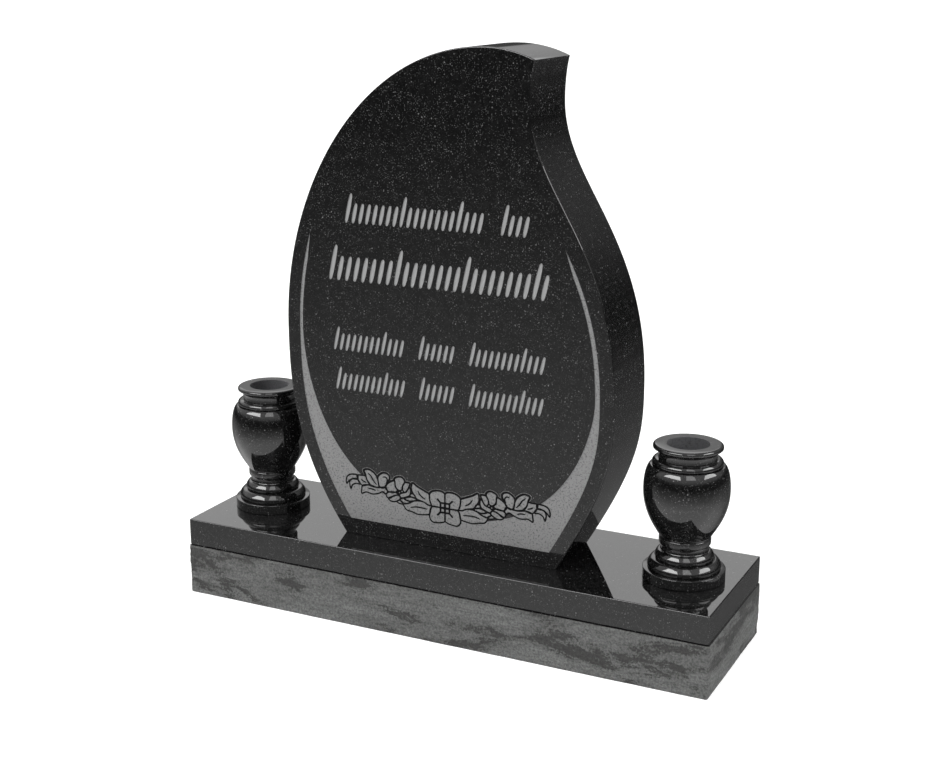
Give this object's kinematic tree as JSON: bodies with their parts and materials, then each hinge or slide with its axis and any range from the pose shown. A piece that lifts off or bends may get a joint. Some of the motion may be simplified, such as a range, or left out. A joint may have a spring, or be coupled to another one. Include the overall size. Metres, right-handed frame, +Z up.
{
  "type": "upright headstone",
  "caption": "Leaf-shaped polished granite tablet on a rectangular base with a rock-faced skirt, between two turned stone flower vases with drilled mouths.",
  "frame": {"origin": "centre of the base's underside", "axes": "+Z up, +X to the reader's right along the base, -Y out of the inscribed front"},
  "size_m": [1.0728, 0.3108, 1.0754],
  "materials": {
    "polished_granite": "polished black granite with sandblasted frosted areas",
    "rock_granite": "black granite, rock-pitched below a polished margin and top",
    "vase_granite": "turned and polished black granite"
  },
  "bodies": {
    "root": {"base": "rock_granite", "tablet": "polished_granite", "vase_left": "vase_granite", "vase_right": "vase_granite"}
  },
  "joints": []
}
